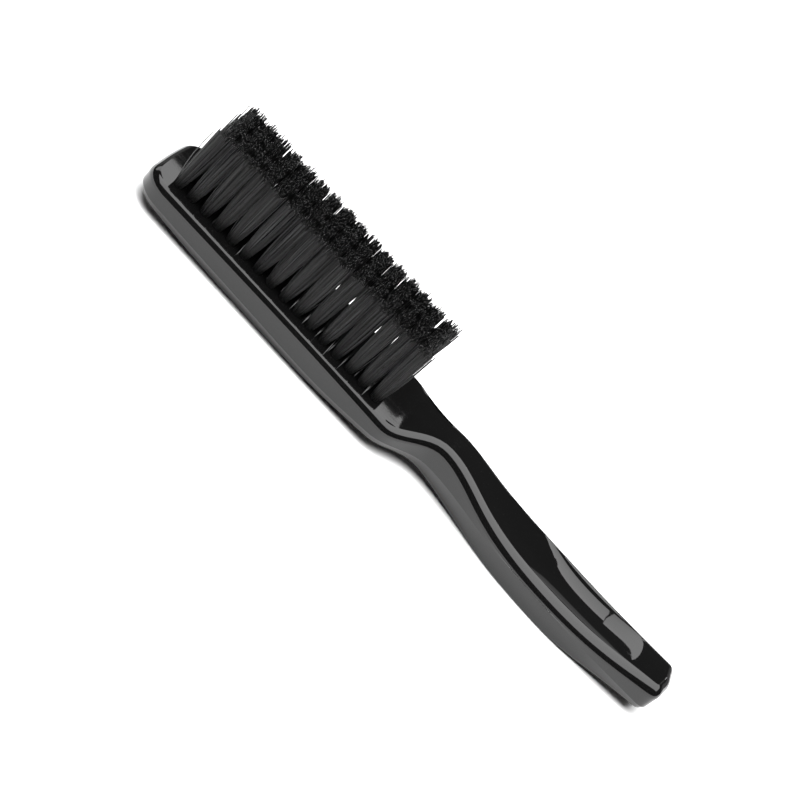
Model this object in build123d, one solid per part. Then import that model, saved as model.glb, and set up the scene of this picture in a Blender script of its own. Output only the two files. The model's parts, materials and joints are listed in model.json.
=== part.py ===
from build123d import *
import math
import os

# Fade brush, lying on its back with its bristles up.
# +X runs from the head's tip to the handle's butt, +Y across the brush, +Z up out of the bristles.
# The origin is under the middle of the brush, on the surface that its back rests on. Millimetres.

# ---- whole body, seen from above
overall_length = 186.0
head_length = 86.0          # tip to where the shoulders start
head_width = 31.4           # at the tip
head_neck_width = 30.2      # where the shoulders start
tip_bow = 0.9               # how far the middle of the tip stands out from its corners
tip_corner = 7.5
shoulder_run = 16.5         # shoulders down to the waist
waist_width = 14.4
grip_start_run = 17.0       # waist to the start of the grip
grip_start_width = 19.8
belly_from_butt = 44.0
belly_width = 23.0
butt_width = 16.2
butt_bow = 1.2
butt_corner = 3.2
butt_narrowing = 0.2        # slope of the grip's sides where they meet the butt

# ---- whole body, seen from the side
head_depth = 9.8            # bristle face above the back's lowest part
rise_lag = 2.5              # the bristle face stays flat this far past the start of the shoulders
crest_rise = 3.9            # top of the neck above the bristle face
crest_past_waist = 1.5
grip_start_rise = 1.4
belly_dip = 0.3             # top of the grip's middle below the bristle face
butt_rise = 2.3
crown_from_tip = 46.0       # middle of the head's flat rest
head_rest_length = 8.0
grip_rest_from_butt = 39.0   # middle of the grip's flat rest
grip_rest_length = 6.0
tip_lift = 3.4              # underside above the table, at the tip
shoulder_lift = 2.75
waist_lift = 3.5
waist_lift_from_shoulder = 6.5
crest_lift = 2.45           # underside below the top of the neck
butt_lift = 3.7

# ---- moulding details
parting_depth = 2.7         # parting line below the bristle face
upper_draft = 1.0           # degrees
lower_draft = 8.0           # degrees
draft_margin = 1.0          # the drafted blocks run this far past the body
rim_radius = 2.0
back_radius = 2.4
dish_depth = 0.35           # the grip's hollow, at its lowest, below the grip's own lowest line
dish_low_from_butt = 39.0
dish_section_radius = 45.0
dish_length_radius = 160.0

# ---- tufts
tuft_rows = 16              # along the head
tufts_per_row = 4           # across the head
row_pitch = 4.83            # along the head
tuft_pitch = 6.35           # across the head
first_row_from_tip = 8.2
hole_diameter = 2.6
hole_depth = 5.0
tuft_length = 20.0          # bristle face to the trimmed ends
tuft_gap = 0.16             # between trimmed ends of neighbouring rows
tuft_waist_height = 2.0     # the tuft stays straight up to here, then flares

# ---- staple anchors, one pressed across each fold
anchor_width = 3.4          # wider than the hole, so that its ends bite into the plastic
anchor_height = 1.4
anchor_thickness = 0.4
fold_thickness = 0.6        # filament folded under the anchor

# ---- places worked out from the sizes
tip_x = -overall_length / 2
butt_x = overall_length / 2
shoulder_x = tip_x + head_length
waist_x = shoulder_x + shoulder_run
crest_x = waist_x + crest_past_waist
grip_start_x = waist_x + grip_start_run
belly_x = butt_x - belly_from_butt
crown_x = tip_x + crown_from_tip
grip_rest_x = butt_x - grip_rest_from_butt
face_z = head_depth
parting_z = face_z - parting_depth
crest_z = face_z + crest_rise
belly_z = face_z - belly_dip
tuft_top_diameter = row_pitch - tuft_gap


def outline_face(z, inset):
    """The body's outline at one height, seen from above, drawn in by its draft there."""
    half_head = head_width / 2 - inset
    half_neck = head_neck_width / 2 - inset
    half_waist = waist_width / 2 - inset
    half_grip_start = grip_start_width / 2 - inset
    half_belly = belly_width / 2 - inset
    half_butt = butt_width / 2 - inset
    tip_end = tip_x + inset
    butt_end = butt_x - inset
    tip_side = tip_end + tip_bow
    butt_side = butt_end - butt_bow
    side = Line((tip_side, half_head), (shoulder_x, half_neck))
    shoulder = Spline(side @ 1, (waist_x, half_waist), tangents=[side % 1, (1, 0)])
    grip = Spline(
        shoulder @ 1,
        (grip_start_x, half_grip_start),
        (belly_x, half_belly),
        (butt_side, half_butt),
        tangents=[(1, 0), (1, -butt_narrowing)],
    )
    near_half = Curve() + [side, shoulder, grip]
    tip = ThreePointArc((tip_side, half_head), (tip_end, 0), (tip_side, -half_head))
    butt = ThreePointArc((butt_side, half_butt), (butt_end, 0), (butt_side, -half_butt))
    face = make_face(Curve() + [tip, near_half, mirror(near_half, about=Plane.XZ), butt])
    face = fillet(face.vertices().sort_by(Axis.X)[:2], tip_corner - inset)
    face = fillet(face.vertices().sort_by(Axis.X)[-2:], butt_corner - inset)
    return Pos(0, 0, z) * face


def side_face():
    """The body's outline seen from the side, in the XZ plane."""
    head_rest = (crown_x - head_rest_length / 2, crown_x + head_rest_length / 2)
    grip_rest = (grip_rest_x - grip_rest_length / 2, grip_rest_x + grip_rest_length / 2)
    waist_under_x = shoulder_x + waist_lift_from_shoulder
    face_line = Line((tip_x, face_z), (shoulder_x + rise_lag, face_z))
    neck_line = Spline(face_line @ 1, (crest_x, crest_z), tangents=[(1, 0), (1, 0)])
    grip_line = Spline(
        neck_line @ 1,
        (grip_start_x, face_z + grip_start_rise),
        (belly_x, belly_z),
        (butt_x, face_z + butt_rise),
        tangents=[(1, 0), (1, 0.12)],
    )
    butt_line = Line(grip_line @ 1, (butt_x, butt_lift))
    butt_under = Spline(butt_line @ 1, (grip_rest[1], 0), tangents=[(-1, -0.14), (-1, 0)])
    grip_flat = Line((grip_rest[1], 0), (grip_rest[0], 0))
    waist_under = Spline(
        (grip_rest[0], 0),
        (crest_x, crest_lift),
        (waist_under_x, waist_lift),
        (shoulder_x, shoulder_lift),
        (head_rest[1], 0),
        tangents=[(-1, 0), (-1, 0)],
    )
    head_flat = Line((head_rest[1], 0), (head_rest[0], 0))
    tip_under = Spline((head_rest[0], 0), (tip_x, tip_lift), tangents=[(-1, 0), (-1, 0.17)])
    tip_line = Line((tip_x, tip_lift), (tip_x, face_z))
    lines = [face_line, neck_line, grip_line, butt_line, butt_under, grip_flat]
    lines += [waist_under, head_flat, tip_under, tip_line]
    return make_face(Plane.XZ * (Curve() + lines))


def drafted_block(height, draft):
    """The outline drawn from the parting line to a height above or below it, with its draft."""
    inset = abs(height) * math.tan(math.radians(draft))
    far_end = outline_face(parting_z + height, inset)
    return loft([outline_face(parting_z, 0), far_end], ruled=True)


def body_blank():
    """Handle, neck and head before any hole, with both drafts meeting at the parting line."""
    upper = drafted_block(crest_z - parting_z + draft_margin, upper_draft)
    lower = drafted_block(-parting_z - draft_margin, lower_draft)
    side = extrude(side_face(), amount=head_width, both=True)
    return (upper + lower) & side


def border_edges(faces):
    """The edges round a patch of faces, without the seams inside it."""
    uses = {}
    for face in faces:
        for edge in face.edges():
            uses[edge] = uses.get(edge, 0) + 1
    return ShapeList([edge for edge, count in uses.items() if count == 1])


def faces_looking(body, sign):
    """Faces that look mostly up (sign 1) or mostly down (sign -1)."""
    return [f for f in body.faces() if sign * f.normal_at(f.center()).Z > 0.7]


def grip_dish():
    """Shallow hollow along the top of the grip: the lowest part of a large ring."""
    ring = Torus(dish_length_radius - dish_section_radius, dish_section_radius)
    ring = Rot(90, 0, 0) * ring
    low_x = butt_x - dish_low_from_butt
    return Pos(low_x, 0, belly_z - dish_depth + dish_length_radius) * ring


def tuft_places(row):
    """Centres of one row's tufts on the bristle face."""
    x = tip_x + first_row_from_tip + row * row_pitch
    first_y = -tuft_pitch * (tufts_per_row - 1) / 2
    return [(x, first_y + place * tuft_pitch) for place in range(tufts_per_row)]


def hole(x, y):
    """One blind tuft hole, as the plug that it leaves."""
    low = face_z - hole_depth
    return Pos(x, y, low) * Cylinder(
        hole_diameter / 2, hole_depth, align=(Align.CENTER, Align.CENTER, Align.MIN)
    )


def anchor(x, y):
    """One flat anchor, standing on edge across the hole over the fold of its tuft."""
    low = face_z - hole_depth + fold_thickness
    return Pos(x, y, low) * Box(
        anchor_thickness,
        anchor_width,
        anchor_height,
        align=(Align.CENTER, Align.CENTER, Align.MIN),
    )


def tuft(x, y):
    """One bundle of filament: it fills its hole, stands straight, then flares to its trim."""
    root = hole_diameter / 2
    tip = tuft_top_diameter / 2
    middle_height = (tuft_waist_height + tuft_length) / 2
    middle = root + (tip - root) * 0.56
    top = (tip, tuft_length)
    straight = Line((root, -hole_depth), (root, tuft_waist_height))
    flare = Spline(straight @ 1, (middle, middle_height), top, tangents=[(0, 1), (0.1, 1)])
    trim = Line(top, (0, tuft_length))
    axis = Line((0, tuft_length), (0, -hole_depth))
    floor = Line((0, -hole_depth), (root, -hole_depth))
    section = make_face(Plane.XZ * (Curve() + [straight, flare, trim, axis, floor]))
    return Pos(x, y, face_z) * revolve(section, Axis.Z) - anchor(x, y)


def body():
    """The one-piece moulding, with its rounded edges, grip hollow, holes and anchor slots."""
    shape = body_blank().solid()
    shape = fillet(border_edges(faces_looking(shape, 1)), rim_radius)
    shape = fillet(border_edges(faces_looking(shape, -1)), back_radius)
    shape -= grip_dish()
    for row in range(tuft_rows):
        for x, y in tuft_places(row):
            shape -= hole(x, y)
            shape -= anchor(x, y)
    return shape


def write(name, shape):
    """Write one piece, or one group of like pieces, to its own file."""
    shape.label = name
    export_step(shape, os.path.join("parts", name + ".step"))


os.makedirs("parts", exist_ok=True)
write("handle_and_head", body())
for row in range(tuft_rows):
    number = f"{row + 1:02d}"
    places = tuft_places(row)
    write("tuft_row_" + number, Compound(children=[tuft(x, y) for x, y in places]))
    write("anchor_row_" + number, Compound(children=[anchor(x, y) for x, y in places]))
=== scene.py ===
# %% [markdown]
# # A fade brush, filament by filament
# A fade brush is a barber's tool for sweeping cut hair off the neck. One black moulding makes the
# head, the neck and the handle, and sixty-four bundles of stiff black nylon stand in the head.
# The engineering model gives the size of the whole brush and the place of every bundle. This
# lesson draws the moulding again with finer edges, and grows each bundle out of single filaments.

# %% Load the fixed frame
import json
import math
import bpy
import numpy as np
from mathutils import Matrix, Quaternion, Vector

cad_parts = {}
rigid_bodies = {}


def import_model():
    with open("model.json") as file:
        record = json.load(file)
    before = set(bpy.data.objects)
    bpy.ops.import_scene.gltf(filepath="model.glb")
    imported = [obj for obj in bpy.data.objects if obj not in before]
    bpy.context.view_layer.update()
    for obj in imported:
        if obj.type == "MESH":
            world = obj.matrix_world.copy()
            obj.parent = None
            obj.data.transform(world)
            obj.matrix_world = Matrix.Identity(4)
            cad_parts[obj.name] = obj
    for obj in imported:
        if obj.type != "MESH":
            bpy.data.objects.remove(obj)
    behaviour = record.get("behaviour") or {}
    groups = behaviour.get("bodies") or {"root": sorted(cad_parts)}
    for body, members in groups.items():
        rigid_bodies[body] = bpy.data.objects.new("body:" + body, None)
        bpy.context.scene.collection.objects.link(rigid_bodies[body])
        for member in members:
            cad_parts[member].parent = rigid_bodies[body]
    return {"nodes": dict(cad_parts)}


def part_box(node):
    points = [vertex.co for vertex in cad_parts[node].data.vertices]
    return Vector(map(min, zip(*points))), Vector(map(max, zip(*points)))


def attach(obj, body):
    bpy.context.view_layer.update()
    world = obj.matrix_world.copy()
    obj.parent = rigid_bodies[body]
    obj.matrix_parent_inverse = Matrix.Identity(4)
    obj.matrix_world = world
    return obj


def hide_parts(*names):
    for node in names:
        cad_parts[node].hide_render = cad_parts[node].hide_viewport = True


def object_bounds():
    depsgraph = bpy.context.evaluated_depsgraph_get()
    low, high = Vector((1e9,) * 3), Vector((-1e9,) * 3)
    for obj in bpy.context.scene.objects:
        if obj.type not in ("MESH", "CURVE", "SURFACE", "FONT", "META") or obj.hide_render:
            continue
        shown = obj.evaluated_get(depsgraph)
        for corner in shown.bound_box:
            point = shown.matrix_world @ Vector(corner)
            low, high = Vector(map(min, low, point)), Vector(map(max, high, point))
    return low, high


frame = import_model()
nodes = frame["nodes"]
cad_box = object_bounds()
MM = 0.001
print("nodes:", len(nodes), "box:", [[round(v, 4) for v in corner] for corner in cad_box])

# %% [markdown]
# ## Camera
# The brush lies on its back along X with its bristles up. The camera stands in front of the near
# side, a little under thirty degrees up, and is rolled by almost fifty degrees, so the brush runs
# from the upper left to the lower right. A long lens keeps the rows of bristle nearly parallel.

# %% Place the camera
VIEW_AZIMUTH = math.radians(1.94)
VIEW_ELEVATION = math.radians(29.51)
VIEW_ROLL = math.radians(48.36)
VIEW_DISTANCE = 665.0 * MM
AIM = Vector((-7.28, 4.26, 7.08)) * MM
LENS = 117.0
SENSOR_WIDTH = 36.0
NEAREST = 0.01              # nothing closer than this is drawn, in metres

forward = Vector((
    math.sin(VIEW_AZIMUTH) * math.cos(VIEW_ELEVATION),
    math.cos(VIEW_AZIMUTH) * math.cos(VIEW_ELEVATION),
    -math.sin(VIEW_ELEVATION),
))
camera = bpy.data.objects.new("camera", bpy.data.cameras.new("camera"))
bpy.context.scene.collection.objects.link(camera)
camera.data.lens = LENS
camera.data.sensor_width = SENSOR_WIDTH
camera.data.clip_start = NEAREST
camera.location = AIM - forward * VIEW_DISTANCE
camera.rotation_mode = "QUATERNION"
camera.rotation_quaternion = forward.to_track_quat("-Z", "Y") @ Quaternion((0, 0, 1), VIEW_ROLL)
bpy.context.scene.camera = camera
print("camera at", [round(v, 3) for v in camera.location])

# %% [markdown]
# ## Shader maths as plain Python
# A finish is a small network of nodes. Writing one node per sum is slow to read, so a wire wraps
# a socket and takes part in ordinary expressions: each operator adds its Math node.

# %% Wires and finishes
class Wire:
    """The output socket of a node, usable in Python expressions."""

    def __init__(self, finish, socket):
        self.finish = finish
        self.socket = socket

    def maths(self, operation, *values):
        inputs = dict(enumerate(values))
        return self.finish.node("ShaderNodeMath", {"operation": operation}, inputs)

    def __add__(self, other):
        return self.maths("ADD", self, other)

    def __sub__(self, other):
        return self.maths("SUBTRACT", self, other)

    def __mul__(self, other):
        return self.maths("MULTIPLY", self, other)

    def __rsub__(self, other):
        return self.maths("SUBTRACT", other, self)

    __radd__ = __add__
    __rmul__ = __mul__


class Finish:
    """A material with its surface shader, built up node by node."""

    def __init__(self, name):
        self.material = bpy.data.materials.new(name)
        self.material.use_nodes = True
        self.tree = self.material.node_tree
        self.tree.nodes.clear()

    def node(self, kind, settings=None, inputs=None, output=0):
        node = self.tree.nodes.new(kind)
        for name, value in (settings or {}).items():
            if name == "stops":
                ramp = node.color_ramp.elements
                ramp[0].position, ramp[0].color = value[0]
                ramp[1].position, ramp[1].color = value[-1]
                for place, colour in value[1:-1]:
                    ramp.new(place).color = colour
            else:
                setattr(node, name, value)
        for name, value in (inputs or {}).items():
            if isinstance(value, Wire):
                self.tree.links.new(value.socket, node.inputs[name])
            else:
                node.inputs[name].default_value = value
        return Wire(self, node.outputs[output])

    def place(self, stretch=(1, 1, 1)):
        """Where a point is on the piece, in metres, with each axis scaled."""
        spot = self.node("ShaderNodeTexCoord", output="Object")
        return self.node("ShaderNodeMapping", {}, {"Vector": spot, "Scale": stretch})

    def noise(self, scale, stretch=(1, 1, 1), detail=2.0, roughness=0.5):
        inputs = {"Vector": self.place(stretch), "Scale": scale}
        inputs |= {"Detail": detail, "Roughness": roughness}
        return self.node("ShaderNodeTexNoise", {}, inputs)

    def ramp(self, value, *stops):
        """A grey that follows stops of (place, brightness)."""
        greys = [(place, (grey, grey, grey, 1)) for place, grey in stops]
        return self.node("ShaderNodeValToRGB", {"stops": greys}, {"Fac": value})

    def blend(self, factor, first, second):
        """A colour between two colours."""
        inputs = {0: factor, 6: first, 7: second}
        settings = {"data_type": "RGBA", "clamp_factor": True}
        return self.node("ShaderNodeMix", settings, inputs, output=2)

    def surface(self, **sockets):
        names = {name.replace("_", " "): value for name, value in sockets.items()}
        shader = self.node("ShaderNodeBsdfPrincipled", {}, names)
        output = self.tree.nodes.new("ShaderNodeOutputMaterial")
        self.tree.links.new(shader.socket, output.inputs["Surface"])
        return self.material


def grey(value):
    return (value, value, value, 1)


print("a grey of a half:", grey(0.5))

# %% [markdown]
# ## The moulding's finish
# The moulding is polystyrene with carbon black, from a polished mould: nearly black, glossy, with
# a faint waviness where the plastic flowed and shrank. Its colour comes almost only from what it
# mirrors, so the detail is in the roughness and the bump: long flow ripples, a fine skin, hairline
# rubs that run mostly along the brush, and a few specks of dust. The ripples stay very low, because
# a mirror shows a slope of half a degree as a bent reflection.

# %% Gloss plastic
BUMP_STEP = 0.00001         # how high a bump of 1 stands, in metres


def gloss_plastic():
    f = Finish("gloss_plastic")
    flow = f.noise(70.0, (0.35, 1.0, 1.0), 1.0)
    skin = f.noise(1400.0, (1, 1, 1), 2.0)
    rub = f.noise(900.0, (0.03, 1.0, 1.0), 3.0, 0.6)
    rubs = f.ramp(rub, (0.60, 0.0), (0.72, 1.0))
    dust = f.ramp(f.noise(2600.0, (1, 1, 1), 0.0), (0.74, 0.0), (0.80, 1.0))
    tone = f.blend(flow, grey(0.0022), grey(0.0042))
    dusty = f.blend(dust * 0.05, tone, grey(0.06))
    height = flow * 0.5 + skin * 0.04 + rubs * -0.02
    normal = f.node("ShaderNodeBump", {}, {"Height": height, "Distance": BUMP_STEP, "Strength": 1.0})
    roughness = 0.015 + flow * 0.012 + rubs * 0.04
    return f.surface(Base_Color=dusty, Roughness=roughness, IOR=1.52, Normal=normal)


plastic = gloss_plastic()
print(plastic.name, "has", len(plastic.node_tree.nodes), "nodes")

# %% [markdown]
# ## Smooth lines
# Head, neck and handle are one piece of plastic. It could be sculpted, but a mould maker draws it
# with lines, and the same lines drive the mesh here. Each is a cubic through a few points, so its
# slope and its bend run on without a kink. On black gloss every kink would show in the reflection.

# %% Smooth lines through a few points
def smooth_line(stations, heights, start_slope=0.0, end_slope=0.0):
    """A cubic spline through points, with a set slope at both ends."""
    x, y = np.array(stations, float), np.array(heights, float)
    count = len(x)
    step, rise = np.diff(x), np.diff(y) / np.diff(x)
    system, right = np.eye(count), np.zeros(count)
    right[0], right[-1] = start_slope, end_slope
    for n in range(1, count - 1):
        before, after = 1 / step[n - 1], 1 / step[n]
        system[n, n - 1 : n + 2] = before, 2 * (before + after), after
        right[n] = 3 * (rise[n - 1] * before + rise[n] * after)
    slope = np.linalg.solve(system, right)

    def value(at):
        at = np.clip(np.asarray(at, float), x[0], x[-1])
        n = np.clip(np.searchsorted(x, at) - 1, 0, count - 2)
        h, t = step[n], (at - x[n]) / step[n]
        start = y[n] * (1 + 2 * t) * (1 - t) ** 2 + slope[n] * h * t * (1 - t) ** 2
        end = y[n + 1] * t * t * (3 - 2 * t) + slope[n + 1] * h * t * t * (t - 1)
        return start + end

    return value


def joined(*parts):
    """Several lines end to end: each is (x where it stops, line)."""
    def value(at):
        at = np.asarray(at, float)
        return np.select([at <= stop for stop, _ in parts], [line(at) for _, line in parts])

    return value


def mm_line(stations, heights, start_slope=0.0, end_slope=0.0):
    return smooth_line(
        np.array(stations) * MM, np.array(heights) * MM, start_slope, end_slope
    )


print("halfway up a smooth step:", round(float(smooth_line([0, 1], [0, 1])(0.5)), 2))

# %% [markdown]
# ## The moulding's lines
# The top and the bottom are what shows from the side: a flat head, a neck that rises, and a grip
# that sags and lifts again to the butt. The head and the grip each rest on a short flat stretch.
# The other lines say how the edge is made from place to place. The rim is part of an ellipse, so it
# has a reach across and a reach down. Below it the wall stands up to the crease, and below
# the crease a bevel leans in to the back. The grip's top is hollowed a little for the thumb.

# %% Draw the moulding's lines, in millimetres
LEVEL = 9.8                 # bristle face above the table
FACE = LEVEL * MM
BUTT = (cad_box[1][0] - cad_box[0][0]) / 2 / MM
TIP = -BUTT
RISE = -4.5                 # where the face starts to rise to the neck
CREST = 11.0                # top of the neck
CREST_LEVEL = 13.7
HEAD_REST = (-51.0, -43.0)
GRIP_REST = (51.0, 57.0)
END = 1.0                   # past the end of the brush, in metres

top_line = joined(
    (RISE * MM, mm_line([TIP, RISE], [LEVEL, LEVEL])),
    (CREST * MM, mm_line([RISE, CREST], [LEVEL, CREST_LEVEL])),
    (END, mm_line([CREST, 26.0, 50.0, 71.0, BUTT], [CREST_LEVEL, 11.2, 9.27, 9.9, 12.3], 0.0, 0.1)),
)
neck_under = mm_line(
    [HEAD_REST[1], -7.0, -0.5, CREST, GRIP_REST[0]],
    [0.0, 2.45, 3.0, 1.7, 0.0],
)
bottom_line = joined(
    (HEAD_REST[0] * MM, mm_line([TIP, HEAD_REST[0]], [3.4, 0.0], -0.17, 0.0)),
    (HEAD_REST[1] * MM, mm_line(HEAD_REST, [0.0, 0.0])),
    (GRIP_REST[0] * MM, neck_under),
    (GRIP_REST[1] * MM, mm_line(GRIP_REST, [0.0, 0.0])),
    (END, mm_line([GRIP_REST[1], BUTT], [0.0, 3.5], 0.0, 0.14)),
)
rim_across = mm_line(
    [TIP, -12, 11, 31, 51, 62, 71, 84, BUTT],
    [2.5, 2.5, 3.9, 4.5, 6.1, 6.9, 6.7, 5.0, 3.6],
)
rim_down = mm_line([TIP, -12, 11, 51, BUTT], [2.5, 2.5, 3.0, 3.2, 3.2])
crease_line = mm_line(
    [TIP, -74, -47, -22, 11, 31, 51, 71, 84, BUTT],
    [4.3, 3.9, 3.4, 3.3, 6.3, 6.2, 6.3, 5.8, 5.2, 4.9],
)
# how far the bevel leans in for each millimetre that it goes down
back_slope = smooth_line(
    np.array([TIP, -12, 2, 11, 24, 38, 51, 66, 78, BUTT]) * MM,
    [0.70, 0.65, 0.60, 0.55, 0.45, 0.24, 0.16, 0.20, 0.45, 0.55],
)
dish_depth = mm_line([41, 52, 62, 72, 83], [0.0, 0.68, 0.9, 0.6, 0.0])
print("top at the crest:", round(float(top_line(CREST * MM)) / MM, 2), "mm")

# %% [markdown]
# ## The outline from above
# It runs from the middle of the tip, round its broad corner, along the straight head, in over the
# shoulder to the waist, out along the grip and round the butt's tighter corner. Each stretch starts
# with the direction that the last one ended with. Only one half is drawn: the brush is the same on
# both sides.

# %% Draw half of the outline
def sweep(start, start_way, end, end_way, pull=1.0, count=200):
    """A curve from one point and direction to another."""
    start, end = np.array(start, float), np.array(end, float)
    reach = np.linalg.norm(end - start) * pull
    ways = [np.array(way, float) / np.linalg.norm(way) * reach for way in (start_way, end_way)]
    t = np.linspace(0, 1, count)[:, None]
    parts = start * (1 + 2 * t) * (1 - t) ** 2 + end * t * t * (3 - 2 * t)
    return parts + ways[0] * t * (1 - t) ** 2 + ways[1] * t * t * (t - 1)


QUARTER_PULL = 1.172        # makes a quarter turn a true round
BUTT_PULL = 1.4             # a slightly squarer corner
BUTT_TAPER = -0.14          # slope of the grip's side where it meets the butt
tip_side, tip_way = (-92.76, 8.2), (0.06, 1)
head_start, shoulder, head_way = (-84.6, 15.68), (-7.0, 15.1), (1, -0.007)
waist = (9.5, 7.1)
butt_side, butt_way = (92.5, 4.4), (0.12, -1)
grip_end = 88.75
grip_width = smooth_line(
    [waist[0], 31.0, 54.0, 76.0, 91.8], [waist[1], 10.2, 11.85, 10.5, 8.1], 0.0, BUTT_TAPER
)
grip_x = np.linspace(waist[0], grip_end, 500)
half_outline = np.concatenate([
    sweep((TIP, 0), (0, 1), tip_side, tip_way)[:-1],
    sweep(tip_side, tip_way, head_start, head_way, QUARTER_PULL)[:-1],
    sweep(head_start, head_way, shoulder, head_way)[:-1],
    sweep(shoulder, head_way, waist, (1, 0))[:-1],
    np.stack([grip_x, grip_width(grip_x)], 1)[:-1],
    sweep((grip_end, grip_width(grip_end)), (1, BUTT_TAPER), butt_side, butt_way, BUTT_PULL)[:-1],
    sweep(butt_side, butt_way, (BUTT, 0), (0, -1)),
]) * MM
steps = np.linalg.norm(np.diff(half_outline, axis=0), axis=1)
travel = np.concatenate([[0], np.cumsum(steps)])
print("half outline:", round(travel[-1] / MM, 1), "mm long")

# %% [markdown]
# ## Marks round the outline
# The mesh needs the same number of points on every ring, so the outline gets one set of marks. A
# mark sits in the middle of each corner, with the points bunched towards the corners, where the
# line turns most. Each mark also gets the direction that points straight out of the brush there.

# %% Mark the outline
ALONG = 190                 # steps along a side
ACROSS = 32                 # steps across an end
BUNCHING = 0.62             # 0 spaces the marks evenly, 1 bunches them fully at the corners
LOOK = 0.05 * MM            # how far each way to look for the outline's direction


def corner_travel(x_low, x_high):
    """How far along the half outline the middle of a corner is."""
    inside = (half_outline[:-1, 0] >= x_low * MM) & (half_outline[:-1, 0] <= x_high * MM)
    way = np.diff(half_outline, axis=0)[inside]
    turned = np.abs(np.abs(way[:, 0]) - np.abs(way[:, 1])) / np.linalg.norm(way, axis=1)
    return travel[:-1][inside][np.argmin(turned)]


def on_outline(at):
    """Points of the half outline at given distances along it."""
    return np.stack([np.interp(at, travel, half_outline[:, n]) for n in (0, 1)], 1)


tip_corner = corner_travel(TIP, head_start[0])
butt_corner = corner_travel(grip_end, BUTT)
share = np.linspace(0, 1, ALONG + 1)
share = share - BUNCHING * np.sin(2 * math.pi * share) / (2 * math.pi)
marks = np.concatenate([
    np.linspace(0, tip_corner, ACROSS // 2 + 1)[:-1],
    tip_corner + (butt_corner - tip_corner) * share[:-1],
    np.linspace(butt_corner, travel[-1], ACROSS // 2 + 1),
])
spots = on_outline(marks)
way = on_outline(marks + LOOK) - on_outline(marks - LOOK)
outward = np.stack([-way[:, 1], way[:, 0]], 1)
outward /= np.linalg.norm(outward, axis=1)[:, None]
outward[0], outward[-1] = (-1, 0), (1, 0)
# the far half from the tip to the butt, then the near half back again
flip = np.array([1, -1])
ring_spots = np.concatenate([spots, (spots * flip)[-2:0:-1]])
ring_out = np.concatenate([outward, (outward * flip)[-2:0:-1]])
PER_RING = len(ring_spots)
print("points on a ring:", PER_RING)

# %% [markdown]
# ## The rings
# The skin of the moulding is a stack of rings. Every ring is the outline drawn in by a little and
# lifted to its own height: over the elliptical rim, down the wall to the crease, in along the
# bevel, and round the back's edge. The rim doesn't start level: it meets the face in a low crease,
# which gives the gloss line on it a sharp upper edge. Close pairs of rings keep the creases crisp.

# %% Stack the rings
RIM_STEPS = 14
RIM_START = math.radians(17)  # the rim meets the face in a crease of this angle
FACE_MARGIN = 0.2 * MM      # the face's border lies this far inside the rim
WALL_PARTS = (0.04, 0.35, 0.7, 0.96, 1.0)
LEAST_WALL = 0.15 * MM
CREASE_INSET = 0.25 * MM
LEAST_BEVEL = 0.9 * MM      # least height of the part below the crease
ROUND_START = 0.72          # the back's edge starts this far down the bevel
BEVEL_PARTS = (0.05, 0.35, ROUND_START)
BACK_STEPS = 5
BACK_ROUND = 0.5 * MM
BACK_MARGIN = 0.25 * MM


def ring(inset, height):
    """One ring: the outline drawn in, at a height that may follow the top or the bottom."""
    flat = ring_spots - ring_out * np.reshape(inset, (-1, 1))
    return np.column_stack([flat, np.broadcast_to(height(flat[:, 0]), PER_RING)])


x_ring = ring_spots[:, 0]
back_z = bottom_line(x_ring)
crease_z = np.maximum(crease_line(x_ring), back_z + LEAST_BEVEL)
down, across = rim_down(x_ring), rim_across(x_ring)
first_turn = np.arctan(across / down * math.tan(RIM_START))
apex = top_line(x_ring) + down * (1 - np.cos(first_turn))
rim_low = np.maximum(apex - down, crease_z + LEAST_WALL)
down = apex - rim_low
first_turn = np.arccos(1 - (apex - top_line(x_ring)) / down)
rings = [ring(across * (1 - np.sin(first_turn)) + FACE_MARGIN, top_line)]
for n in range(RIM_STEPS + 1):
    turn = first_turn + (math.pi / 2 - first_turn) * n / RIM_STEPS
    height = apex - down * (1 - np.cos(turn))
    rings.append(ring(across * (1 - np.sin(turn)), lambda x, z=height: z))
for part in WALL_PARTS:
    height = rim_low + (crease_z - rim_low) * part
    rings.append(ring(CREASE_INSET * part, lambda x, z=height: z))
bevel = crease_z - back_z
run = bevel * back_slope(x_ring)
for part in BEVEL_PARTS:
    rings.append(ring(CREASE_INSET + run * part, lambda x, z=crease_z - bevel * part: z))
for n in range(1, BACK_STEPS + 1):
    t = n / BACK_STEPS
    inset = CREASE_INSET + run * (ROUND_START * (1 - t) ** 2 + 2 * t * (1 - t) + t * t)
    lift = bevel * (1 - ROUND_START) * (1 - t) ** 2
    rings.append(ring(inset + BACK_ROUND * t * t, lambda x, up=lift: bottom_line(x) + up))
rings.append(ring(CREASE_INSET + run + BACK_ROUND + BACK_MARGIN, bottom_line))
print(len(rings), "rings of", PER_RING, "points")

# %% [markdown]
# ## Closing the top and the back
# The innermost ring at the top and at the back is filled with a grid that runs from side to side
# and from end to end, so the surface stays made of neat four-sided faces. One flat face would be
# simpler, but it couldn't carry the shallow hollow where the thumb rests.

# %% A grid inside a ring
half_across = ACROSS // 2


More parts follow.
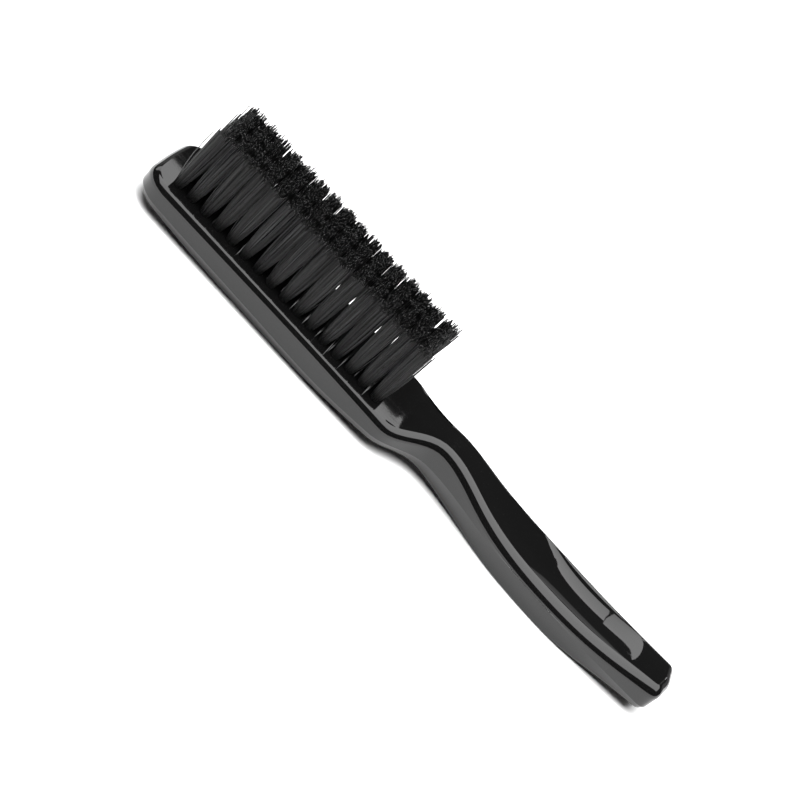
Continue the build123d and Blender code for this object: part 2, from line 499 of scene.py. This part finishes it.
def grid(edge, height):
    """Points of a grid inside a ring, row by row from the tip, with the border included."""
    far = edge[half_across : half_across + ALONG + 1]
    near = edge[-half_across - ALONG :][: ALONG + 1][::-1]
    tip_end = np.concatenate([edge[: half_across + 1][::-1], edge[: -half_across - 1 : -1]])
    middle = half_across + ALONG
    butt_end = edge[middle : middle + ACROSS + 1]
    u = np.linspace(0, 1, ALONG + 1)[:, None, None]
    v = np.linspace(0, 1, ACROSS + 1)[None, :, None]
    sides = far[:, None] * (1 - v) + near[:, None] * v
    ends = tip_end[None] * (1 - u) + butt_end[None] * u
    corners = (far[0] * (1 - v) + near[0] * v) * (1 - u) + (far[-1] * (1 - v) + near[-1] * v) * u
    points = sides + ends - corners
    points[..., 2] = height(points[..., 0], 2 * v[..., 0] - 1)
    return points


def ring_place(row, column):
    """Which point of a ring a border point of the grid is."""
    if column == 0:
        return half_across + row
    if column == ACROSS:
        return (-half_across - row) % PER_RING
    if row == 0:
        return (half_across - column) % PER_RING
    return half_across + ALONG + column


def top_height(x, side):
    """Height of the top, where side runs from -1 to 1 across the brush."""
    return top_line(x) - dish_depth(x) * (1 - side**2)


def back_height(x, side):
    return bottom_line(x) + 0 * side


print("hollow at its deepest:", round(float(dish_depth(62 * MM)) / MM, 2), "mm")

# %% [markdown]
# ## From points to a mesh
# Neighbouring rings are joined by a band of four-sided faces. Then each of the two grids is joined
# to its ring by using the ring's own points as its border, so no point is there twice and the mesh
# is closed. At the end, all the faces are made to point outwards.

# %% Make the mesh
def bare_hands():
    """Nothing selected, object mode."""
    if bpy.context.object and bpy.context.object.mode != "OBJECT":
        bpy.ops.object.mode_set(mode="OBJECT")
    bpy.ops.object.select_all(action="DESELECT")


points = [p for one in rings for p in one]
faces = []
for level in range(len(rings) - 1):
    for n in range(PER_RING):
        m = (n + 1) % PER_RING
        a, b = level * PER_RING, (level + 1) * PER_RING
        faces.append((a + n, a + m, b + m, b + n))
last_ring = (len(rings) - 1) * PER_RING
for edge, height, base in ((rings[0], top_height, 0), (rings[-1], back_height, last_ring)):
    inner = grid(edge, height)
    number = {}
    for row in range(ALONG + 1):
        for column in range(ACROSS + 1):
            if row in (0, ALONG) or column in (0, ACROSS):
                number[row, column] = base + ring_place(row, column)
            else:
                number[row, column] = len(points)
                points.append(inner[row, column])
    for row in range(ALONG):
        for column in range(ACROSS):
            square = [(row, column), (row, column + 1), (row + 1, column + 1), (row + 1, column)]
            faces.append([number[spot] for spot in square])
body_mesh = bpy.data.meshes.new("brush_body")
body_mesh.from_pydata([tuple(p) for p in points], [], faces)
body_mesh.validate()
body = bpy.data.objects.new("brush_body", body_mesh)
bpy.context.scene.collection.objects.link(body)
bare_hands()
body.select_set(True)
bpy.context.view_layer.objects.active = body
bpy.ops.object.mode_set(mode="EDIT")
bpy.ops.mesh.select_all(action="SELECT")
bpy.ops.mesh.normals_make_consistent(inside=False)
bpy.ops.object.mode_set(mode="OBJECT")
print("body:", len(body.data.polygons), "faces")

# %% [markdown]
# ## Sixty-four holes
# The bundles stand in blind holes drilled into the face. A dark disc for each hole would do from
# afar, but not up close. So one cutter with all the plugs is taken away from the body at once. The
# modifier is applied, so the holes are real. Their places come from the model's own rows.

# %% Make the plugs
HOLE_RADIUS = 1.3 * MM
HOLE_DEPTH = 5.0 * MM
HOLE_SIDES = 20
PER_ROW = 4
rows = sorted(name for name in nodes if name.startswith("tuft_row"))


def bundle_places(name):
    """Middles of a row's bundles, and how wide a bundle is at its top."""
    low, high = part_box(name)
    tip_radius = (high.x - low.x) / 2
    pitch = (high.y - low.y - 2 * tip_radius) / (PER_ROW - 1)
    middle = (low.x + high.x) / 2
    return [(middle, low.y + tip_radius + n * pitch) for n in range(PER_ROW)], tip_radius


plugs = []
for row_name in rows:
    for x, y in bundle_places(row_name)[0]:
        bare_hands()
        bpy.ops.mesh.primitive_cylinder_add(
            vertices=HOLE_SIDES, radius=HOLE_RADIUS, depth=2 * HOLE_DEPTH, location=(x, y, FACE)
        )
        plugs.append(bpy.context.object)
bare_hands()
for plug in plugs:
    plug.select_set(True)
plug_count = len(plugs)
bpy.context.view_layer.objects.active = plugs[0]
bpy.ops.object.join()
cutter = bpy.context.object
bpy.ops.object.transform_apply(location=True, rotation=True, scale=True)
print("plugs:", plug_count)

# %% [markdown]
# ## Drilling and shading
# After the cut, the body is shaded smooth with its creases marked as sharp. Then the normals are
# weighted by the size of the faces, so that the large flats stay flat beside the small rim faces.

# %% Drill the holes and finish the body
SHARP = 15.5                # degrees: the creases of the moulding are sharper than this


def paint(piece, material):
    """Every face of a piece takes one finish."""
    piece.data.materials.clear()
    piece.data.materials.append(material)


bare_hands()
body.select_set(True)
bpy.context.view_layer.objects.active = body
drill = body.modifiers.new("holes", "BOOLEAN")
drill.operation, drill.solver, drill.object = "DIFFERENCE", "EXACT", cutter
bpy.ops.object.modifier_apply(modifier="holes")
bpy.data.objects.remove(cutter)
body.data.shade_smooth()
body.data.set_sharp_from_angle(angle=math.radians(SHARP))
even = body.modifiers.new("even_normals", "WEIGHTED_NORMAL")
even.keep_sharp = True
bpy.ops.object.modifier_apply(modifier="even_normals")
paint(body, plastic)
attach(body, "root")
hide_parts("handle_and_head")
print("drilled body:", len(body.data.polygons), "faces")

# %% [markdown]
# ## The anchors' finish
# Each bundle is folded over a flat brass anchor deep in its hole. None shows, but a cut-away would
# show them, so they get drawn brass: streaks along the wire and a slightly uneven tarnish.

# %% Brass
def drawn_brass():
    f = Finish("drawn_brass")
    streak = f.noise(4000.0, (1.0, 0.05, 1.0), 2.0)
    tarnish = f.noise(600.0)
    colour = f.blend(tarnish, (0.72, 0.50, 0.20, 1), (0.45, 0.29, 0.12, 1))
    normal = f.node("ShaderNodeBump", {}, {"Height": streak, "Distance": BUMP_STEP})
    roughness = 0.28 + streak * 0.15
    return f.surface(Base_Color=colour, Metallic=1.0, Roughness=roughness, Normal=normal)


brass = drawn_brass()
anchors = [name for name in nodes if name.startswith("anchor_row")]
for name in anchors:
    paint(nodes[name], brass)
print("anchor rows:", len(anchors))

# %% [markdown]
# ## One filament
# A filament is a nylon bristle a quarter of a millimetre thick. It could be a curve with a round
# bevel, but thousands of curves are slow and can't carry a cut end. It is a hexagon of one
# filament's size, extruded upward in short steps, because the copies bend at the steps. The last
# ring is tilted: a clipper leaves a slanted end.

# %% Model the filament
FILAMENT_RADIUS = 0.125 * MM
STEPS = 5
SIDES = 6
END_SLANT = math.radians(10)
AT_END = 0.99               # a point of the pattern above this height is on the cut end

bare_hands()
bpy.ops.mesh.primitive_circle_add(
    vertices=SIDES, radius=FILAMENT_RADIUS, fill_type="NGON", location=(0, 0, 0)
)
pattern = bpy.context.object
pattern.name = "filament_pattern"
bpy.ops.object.mode_set(mode="EDIT")
bpy.ops.mesh.select_all(action="SELECT")
for _ in range(STEPS):
    bpy.ops.mesh.extrude_region_move(TRANSFORM_OT_translate={"value": (0, 0, 1.0 / STEPS)})
bpy.ops.mesh.select_all(action="SELECT")
bpy.ops.mesh.normals_make_consistent(inside=False)
bpy.ops.object.mode_set(mode="OBJECT")
pattern_points = np.array([v.co for v in pattern.data.vertices])
pattern_faces = [list(p.vertices) for p in pattern.data.polygons]
print("filament:", len(pattern_points), "points,", len(pattern_faces), "faces")
bpy.data.objects.remove(pattern)

# %% [markdown]
# ## A bundle of filaments
# The filaments leave the hole packed side by side, stand straight for a moment, then spread until
# they meet the next bundle. They are laid out as seeds in a sunflower head, which packs a disc
# evenly, and each one then gets its own lean, bow, twist and length. A few go astray, and bundles
# at the field's border have nothing beside them, so a few of their outer filaments stand well out.

# %% Grow one bundle
FILAMENTS = 105
GOLDEN_TURN = math.pi * (3 - math.sqrt(5))
PACKING = 0.9               # share of the hole's radius that the filaments' middles fill
SUNK = 1.2 * MM             # how far below the bristle face a filament starts
SIDE_SPREAD = 1.27          # a bundle's top is this much wider across the brush than along it
TOP_MARGIN = 0.05 * MM      # a bundle's top reaches this far past the model's
SPREAD_POWER = 2.2          # how early the spread comes on the way up
ROOT_JITTER = 0.03 * MM     # each jitter is a standard deviation
BUNDLE_LEAN = 0.17 * MM
TIP_JITTER = 0.20 * MM
BOW = 0.10 * MM
ASTRAY_SHARE = 0.05
ASTRAY_JITTER = 0.55 * MM
WILD_SHARE = 0.05           # of the filaments further out than WILD_REACH
WILD_REACH = 0.6
WILD_OUT = (0.6, 2.6)       # how far a wild one stands out, in millimetres
TRIM_LOW = -0.15 * MM
TRIM_JITTER = 0.34 * MM
TRIM_MISS = 0.5 * MM        # the most that a missed filament falls short
TONE_MIDDLE, TONE_JITTER = 0.45, 0.35
chance = np.random.default_rng(7)


def bundle(centre_x, centre_y, face_z, tops_z, root_radius, tip_radius, border):
    """Points of one bundle, filament by filament, and one tone for each filament."""
    order = np.arange(FILAMENTS)
    turn = order * GOLDEN_TURN + chance.uniform(0, 2 * math.pi)
    reach = np.sqrt((order + 0.5) / FILAMENTS)
    out = np.stack([np.cos(turn), np.sin(turn)], 1) * reach[:, None]
    base = out * root_radius * PACKING + chance.normal(0, ROOT_JITTER, (FILAMENTS, 2))
    lean = chance.normal(0, BUNDLE_LEAN, 2)
    tip = out * (tip_radius + TOP_MARGIN) * np.array([1.0, SIDE_SPREAD]) + lean
    tip += chance.normal(0, TIP_JITTER, (FILAMENTS, 2))
    astray = (chance.random(FILAMENTS) < ASTRAY_SHARE)[:, None]
    tip += astray * chance.normal(0, ASTRAY_JITTER, (FILAMENTS, 2))
    wild = (chance.random(FILAMENTS) < WILD_SHARE)[:, None] & (reach[:, None] > WILD_REACH)
    tip += wild * np.array(border) * chance.uniform(*WILD_OUT, (FILAMENTS, 1)) * MM
    bow = chance.normal(0, BOW, (FILAMENTS, 2))
    length = tops_z - face_z + chance.normal(TRIM_LOW, TRIM_JITTER, FILAMENTS)
    length -= TRIM_MISS * chance.random(FILAMENTS) ** 4
    along = pattern_points[:, 2]
    spread = 1 - (1 - along) ** SPREAD_POWER
    points = np.empty((FILAMENTS, len(pattern_points), 3))
    for n in range(FILAMENTS):
        roll = chance.uniform(0, 2 * math.pi)
        c, s = math.cos(roll), math.sin(roll)
        section = pattern_points[:, :2] @ np.array([[c, s], [-s, c]])
        path = base[n] + (tip[n] - base[n]) * spread[:, None]
        path = path + bow[n] * np.sin(math.pi * along)[:, None]
        cut = (along > AT_END) * pattern_points[:, 0] * math.tan(END_SLANT)
        points[n, :, :2] = section + path + (centre_x, centre_y)
        points[n, :, 2] = face_z - SUNK + (length[n] + SUNK) * along + cut
    tone = np.clip(chance.normal(TONE_MIDDLE, TONE_JITTER, FILAMENTS), 0, 1)
    return points.reshape(-1, 3), tone


print("a bundle has", FILAMENTS * len(pattern_faces), "faces")

# %% [markdown]
# ## Rows of bundles
# The model has one node for each crosswise row of four bundles. Each row becomes one mesh that
# stands for its node. The holes' places come from the node's own box: four bundles as wide as the
# row is deep at the top, evenly spaced.

# %% Grow every row
SIDE_PULL = 0.4             # wild filaments go sideways by this share of the way out at the ends
EDGE_ANGLE = math.radians(62)  # rounds the six sides together and leaves the cut end sharp


def row_mesh(name, first, last):
    """One row of bundles as a mesh, with a tone attribute for every filament."""
    places, tip_radius = bundle_places(name)
    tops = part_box(name)[1].z
    points, tones = [], []
    for place, (x, y) in enumerate(places):
        side = -1 if place == 0 else 1 if place == PER_ROW - 1 else 0
        border = (-1 if first else 1 if last else 0, side * SIDE_PULL)
        grown, tone = bundle(x, y, FACE, tops, HOLE_RADIUS, tip_radius, border)
        points.append(grown)
        tones.append(tone)
    points = np.concatenate(points)
    tones = np.concatenate(tones)
    count = len(pattern_points)
    faces = [[v + n * count for v in face] for n in range(len(tones)) for face in pattern_faces]
    mesh = bpy.data.meshes.new(name + "_filaments")
    mesh.from_pydata(points.tolist(), [], faces)
    mesh.shade_smooth()
    mesh.set_sharp_from_angle(angle=EDGE_ANGLE)
    attribute = mesh.attributes.new("tone", "FLOAT", "POINT")
    attribute.data.foreach_set("value", np.repeat(tones, count).astype(np.float32))
    ends = [all(pattern_points[v, 2] > AT_END for v in face) for face in pattern_faces]
    attribute = mesh.attributes.new("cut", "FLOAT", "FACE")
    attribute.data.foreach_set("value", np.tile(ends, len(tones)).astype(np.float32))
    return mesh


print("rows to grow:", len(rows))

# %% [markdown]
# ## The filament's finish
# Black nylon drawn through a die: a soft sheen, faint lines along its length, and a little
# difference from one filament to the next, which the tone attribute carries. The clipped ends are
# matt, and some catch the light, so they take their own tone. The cut attribute says which faces
# they are.

# %% Nylon
GRAIN_STEP = 0.000008       # how high the drawn lines stand, in metres


def black_nylon():
    f = Finish("black_nylon")
    tone = f.node("ShaderNodeAttribute", {"attribute_name": "tone"}, output="Fac")
    grain = f.noise(9000.0, (1, 1, 0.04), 2.0)
    cut = f.node("ShaderNodeAttribute", {"attribute_name": "cut"}, output="Fac")
    drawn = f.blend(tone * 0.8 + grain * 0.2, grey(0.001), grey(0.010))
    clipped = f.ramp(tone, (0.5, 0.001), (1.0, 0.07))
    colour = f.blend(cut, drawn, clipped)
    normal = f.node("ShaderNodeBump", {}, {"Height": grain, "Distance": GRAIN_STEP})
    roughness = 0.50 - tone * 0.26 + grain * 0.08
    return f.surface(Base_Color=colour, Roughness=roughness, IOR=1.5, Normal=normal)


nylon = black_nylon()
for number, name in enumerate(rows):
    mesh = row_mesh(name, number == 0, number == len(rows) - 1)
    piece = bpy.data.objects.new(name + "_filaments", mesh)
    bpy.context.scene.collection.objects.link(piece)
    paint(piece, nylon)
    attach(piece, "root")
    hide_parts(name)
print("rows:", len(rows), "faces in a row:", len(mesh.polygons))

# %% [markdown]
# ## The table
# A plain white table, large enough for its edge to stay out of view. It belongs to the stage and not
# to the brush.

# %% Table
TABLE_SIZE = 12.0

bare_hands()
bpy.ops.mesh.primitive_plane_add(size=TABLE_SIZE, location=(0, 0, cad_box[0][2]))
table = bpy.context.object
table.name = "table"
white = Finish("white_table")
speckle = white.noise(40.0)
paint(table, white.surface(
    Base_Color=white.blend(speckle, grey(0.84), grey(0.86)), Roughness=0.7,
))
print("table:", TABLE_SIZE, "m wide")

# %% [markdown]
# ## The lights
# The moulding is a mirror, so each light is placed for what it draws. The large overhead light
# draws the long line on the rim. The table fills the sides with grey, and the gap between the two
# leaves the black line in the middle. A low card behind the head and a small one behind the grip
# show as the pale patches on the flat top, and a dim far wall lifts the black between them. The
# fill lights the nylon and the table, and is kept out of the mirror.

# %% Lights
def softbox(name, centre, size, aim, brightness, turn=0.0):
    """A rectangular light whose face is as bright from every side."""
    data = bpy.data.lights.new(name, "AREA")
    data.shape = "RECTANGLE"
    data.size, data.size_y = size
    data.energy = brightness * size[0] * size[1] * math.pi
    light = bpy.data.objects.new(name, data)
    bpy.context.scene.collection.objects.link(light)
    light.location = centre
    direction = Vector(aim) - Vector(centre)
    light.rotation_mode = "QUATERNION"
    aimed = direction.to_track_quat("-Z", "Y")
    light.rotation_quaternion = aimed @ Quaternion((0, 0, 1), turn)
    across = light.rotation_quaternion @ Vector((1, 0, 0))
    print(name, "is", size, "m, its width along", [round(v, 2) for v in across])
    return light


softbox("overhead", (0, 0.05, 2.2), (4.0, 2.24), (0, 0.05, 0), 3.7)
card_turn = math.radians(-2.3)
softbox("rear_card", (-1.15, 1.2, 0.966), (2.5, 0.62), (-1.15, 0, 0.966), 1.9, card_turn)
softbox("grip_card", (0.215, 1.2, 1.01), (0.21, 0.46), (0.215, 0, 1.01), 2.1)
softbox("far_wall", (0, 3.2, 0.6), (8.0, 1.2), (0, 0, 0.6), 0.27)
fill = softbox("fill", (0, -1.0, 2.4), (3.0, 1.6), (0, 0, 0), 7.5)
fill.visible_glossy = False

world = bpy.data.worlds.new("studio")
bpy.context.scene.world = world
world.use_nodes = True
world.node_tree.nodes["Background"].inputs["Color"].default_value = grey(0.03)
bpy.context.scene.view_settings.view_transform = "Standard"
